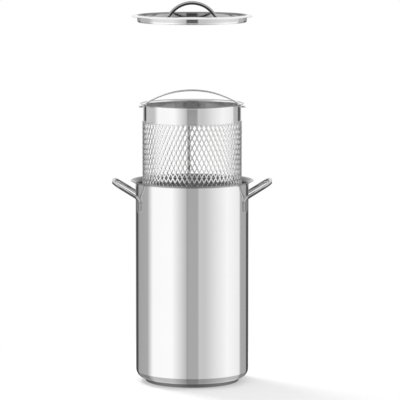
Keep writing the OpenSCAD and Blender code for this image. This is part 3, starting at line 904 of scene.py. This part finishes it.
def math_node(operation, *values):
    """A math node on numbers or sockets, and its result."""
    node = nodes.new("ShaderNodeMath")
    node.operation = operation
    for socket, value in zip(node.inputs, values):
        if isinstance(value, (int, float)):
            socket.default_value = value
        else:
            links.new(value, socket)
    return node.outputs[0]


def ramp_node(value, stops):
    """A ramp from stops of (place from 0 to 1, colour)."""
    ramp = nodes.new("ShaderNodeValToRGB")
    elements = ramp.color_ramp.elements
    while len(elements) < len(stops):
        elements.new(0.5)
    for element, (place, colour) in zip(elements, stops):
        element.position = place
        element.color = colour
    links.new(value, ramp.inputs["Fac"])
    return ramp.outputs["Color"]


def mask_grey(share):
    """The colour of a mask that lets through this share."""
    return (share, share, share, 1)


def by_turn(stops, colour_of=mask_grey):
    """A ramp round the studio, from stops of (angle, level)."""
    return ramp_node(turn_share, [((angle + 180) / 360, colour_of(level)) for angle, level in stops])


def by_rise(stops):
    """A mask from bottom to top of the studio, from stops of (rise, share)."""
    return ramp_node(rise, [(at, mask_grey(share)) for at, share in stops])


def covered(colour, grey_level, *masks):
    """Mixes a grey over the colour where both masks are white."""
    mix = nodes.new("ShaderNodeMix")
    mix.data_type = "RGBA"
    links.new(math_node("MULTIPLY", *masks), mix.inputs["Factor"])
    links.new(colour, mix.inputs[6])
    mix.inputs[7].default_value = grey(grey_level)
    return mix.outputs[2]


# Below the horizon the turn is measured from STRIPE_POINT and doubled. That keeps the
# wall's stripes upright where the pot's bottom corner curves under.
direction = nodes.new("ShaderNodeSeparateXYZ")
place = nodes.new("ShaderNodeTexCoord")
links.new(place.outputs["Generated"], direction.inputs[0])
x, y, z = direction.outputs
level_turn = math_node("ARCTAN2", x, math_node("MULTIPLY", y, -1))
half_turn_down = math_node("ARCTAN2", x, math_node("SUBTRACT", STRIPE_POINT, y))
downwards = math_node("LESS_THAN", z, DOWNWARDS)
turn = math_node("ADD", math_node("MULTIPLY", level_turn, math_node("SUBTRACT", 1, downwards)),
                 math_node("MULTIPLY", half_turn_down, math_node("MULTIPLY", downwards, 2)))
turn_share = math_node("MULTIPLY_ADD", turn, 1 / (2 * math.pi), 0.5)
rise = math_node("MULTIPLY_ADD", z, 0.5, 0.5)

lid_band = by_rise(LID_RISE)
collar_band = by_rise(COLLAR_RISE)
overhead = by_rise(OVERHEAD_RISE)
studio = by_turn(PANELS, grey)
studio = covered(studio, LID_GREY, lid_band, LID_GREY_SHARE)
studio = covered(studio, FRONT_GAP_GREY, by_turn(FRONT_GAP), by_rise(FRONT_GAP_RISE))
studio = covered(studio, BACK_GAP_GREY, by_turn(BACK_GAP), by_rise(BACK_GAP_RISE))
studio = covered(studio, LID_EDGES_GREY, by_turn(LID_EDGES), lid_band)
studio = covered(studio, OVERHEAD_GREY, overhead, overhead)
studio = covered(studio, BEHIND_GREY, by_turn(BEHIND), by_rise(BEHIND_RISE))
studio = covered(studio, COLLAR_SIDES_GREY, by_turn(COLLAR_SIDES), collar_band)
studio = covered(studio, COLLAR_EDGES_GREY, by_turn(COLLAR_EDGES), collar_band)

mirrored_studio = nodes.new("ShaderNodeBackground")
mirrored_studio.inputs["Strength"].default_value = STUDIO_STRENGTH
links.new(studio, mirrored_studio.inputs["Color"])
ambient = nodes.new("ShaderNodeBackground")
ambient.inputs["Strength"].default_value = AMBIENT_STRENGTH
plain_white = nodes.new("ShaderNodeBackground")
light_path = nodes.new("ShaderNodeLightPath")
for_diffuse = nodes.new("ShaderNodeMixShader")
for_camera = nodes.new("ShaderNodeMixShader")
output = nodes.new("ShaderNodeOutputWorld")
links.new(light_path.outputs["Is Diffuse Ray"], for_diffuse.inputs["Fac"])
links.new(mirrored_studio.outputs[0], for_diffuse.inputs[1])
links.new(ambient.outputs[0], for_diffuse.inputs[2])
links.new(light_path.outputs["Is Camera Ray"], for_camera.inputs["Fac"])
links.new(for_diffuse.outputs[0], for_camera.inputs[1])
links.new(plain_white.outputs[0], for_camera.inputs[2])
links.new(for_camera.outputs[0], output.inputs["Surface"])


# The lamp: a wide soft box behind and to the left, high up, which throws the pot's
# faint shadow forwards and to the right. The steel doesn't mirror it.
lamp_data = bpy.data.lights.new("soft_box", "AREA")
lamp_data.shape = "DISK"
lamp_data.size = 1.2
lamp_data.energy = 60
lamp = bpy.data.objects.new("soft_box", lamp_data)
lamp.location = (-1.4, 1.6, 2.6)
lamp.rotation_euler = (-lamp.location).to_track_quat("-Z", "Y").to_euler()
lamp.visible_glossy = False
scene.collection.objects.link(lamp)
